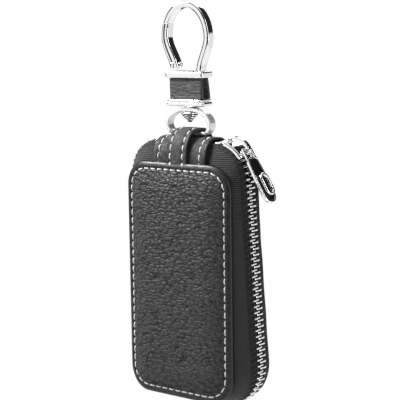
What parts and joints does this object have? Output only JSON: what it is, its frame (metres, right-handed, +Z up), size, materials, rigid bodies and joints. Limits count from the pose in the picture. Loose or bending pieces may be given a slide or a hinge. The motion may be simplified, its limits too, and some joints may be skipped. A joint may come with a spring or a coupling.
{
  "type": "key fob case with snap hook",
  "caption": "Padded zip-round case for a key fob that hangs from a swivel ring and a spring-gate snap hook, with a split ring inside.",
  "frame": {"origin": "inside top of the snap hook's bow, the point the object hangs from", "axes": "+Z up along the hook's middle, -Y out of the front panel, +X towards the side with the zip's slider"},
  "size_m": [0.0783, 0.03, 0.1752],
  "materials": {
    "chrome": "polished plating",
    "zip_metal": "bright nickel",
    "steel": "plain",
    "leather": "pebbled, semi-matt",
    "inlay": "smooth, semi-gloss",
    "tape": "woven tape",
    "lining": "plain weave",
    "foam": "matt padding"
  },
  "bodies": {
    "hook": {"hook_frame": "chrome", "gate_pin": "chrome", "link_leather_front": "leather", "link_leather_rear": "leather", "link_core": "steel", "lower_plate": "chrome", "swivel_rivet": "chrome"},
    "gate": {"gate": "chrome", "gate_spring": "steel"},
    "ring": {"swivel_ring": "chrome"},
    "case": {"hanger_loop": "leather", "hinge_strap": "leather", "rear_panel": "leather", "rear_pad": "foam", "rear_lining": "lining", "rear_gusset": "tape", "top_gusset": "tape", "rear_teeth": "zip_metal", "top_teeth_right": "zip_metal", "top_teeth_left": "zip_metal", "zip_stop_right": "zip_metal", "zip_stop_left": "zip_metal", "inner_tab": "leather", "tab_rivet": "chrome"},
    "front": {"front_panel": "leather", "front_pad": "foam", "front_lining": "lining", "front_gusset": "tape", "front_teeth": "zip_metal"},
    "slider": {"slider_body": "chrome", "slider_crown": "chrome"},
    "puller": {"puller_frame": "chrome", "puller_inlay": "inlay", "puller_eyelet": "chrome"},
    "key_ring": {"key_ring": "steel"}
  },
  "joints": [
    {"name": "gate_hinge", "type": "hinge", "parent": "hook", "child": "gate", "pos_m": [-0.00733, 0, -0.0243], "axis": [0, 1, 0], "range_deg": [0, 25], "stiffness_Nm_per_rad": 0.002, "springref_deg": -5.73},
    {"name": "swivel_spin", "type": "hinge", "parent": "hook", "child": "ring", "pos_m": [0, 0, -0.0424], "axis": [0, 0, 1], "continuous": true},
    {"name": "ring_swing", "type": "hinge", "parent": "ring", "child": "case", "pos_m": [0, 0, -0.0539], "axis": [1, 0, 0], "range_deg": [-40, 40]},
    {"name": "case_open", "type": "hinge", "parent": "case", "child": "front", "pos_m": [0, -0.0114, -0.0669], "axis": [-1, 0, 0], "range_deg": [0, 130]},
    {"name": "slider_travel", "type": "hinge", "parent": "case", "child": "slider", "pos_m": [0.0159, 0, -0.0722], "axis": [0, 1, 0], "range_deg": [0, 30]},
    {"name": "puller_flip", "type": "hinge", "parent": "slider", "child": "puller", "pos_m": [0.0298, 0, -0.05969], "axis": [0, -1, 0], "range_deg": [0, 140]},
    {"name": "key_ring_swing", "type": "hinge", "parent": "case", "child": "key_ring", "pos_m": [0, 0, -0.06857], "axis": [1, 0, 0], "range_deg": [-8, 8]}
  ]
}
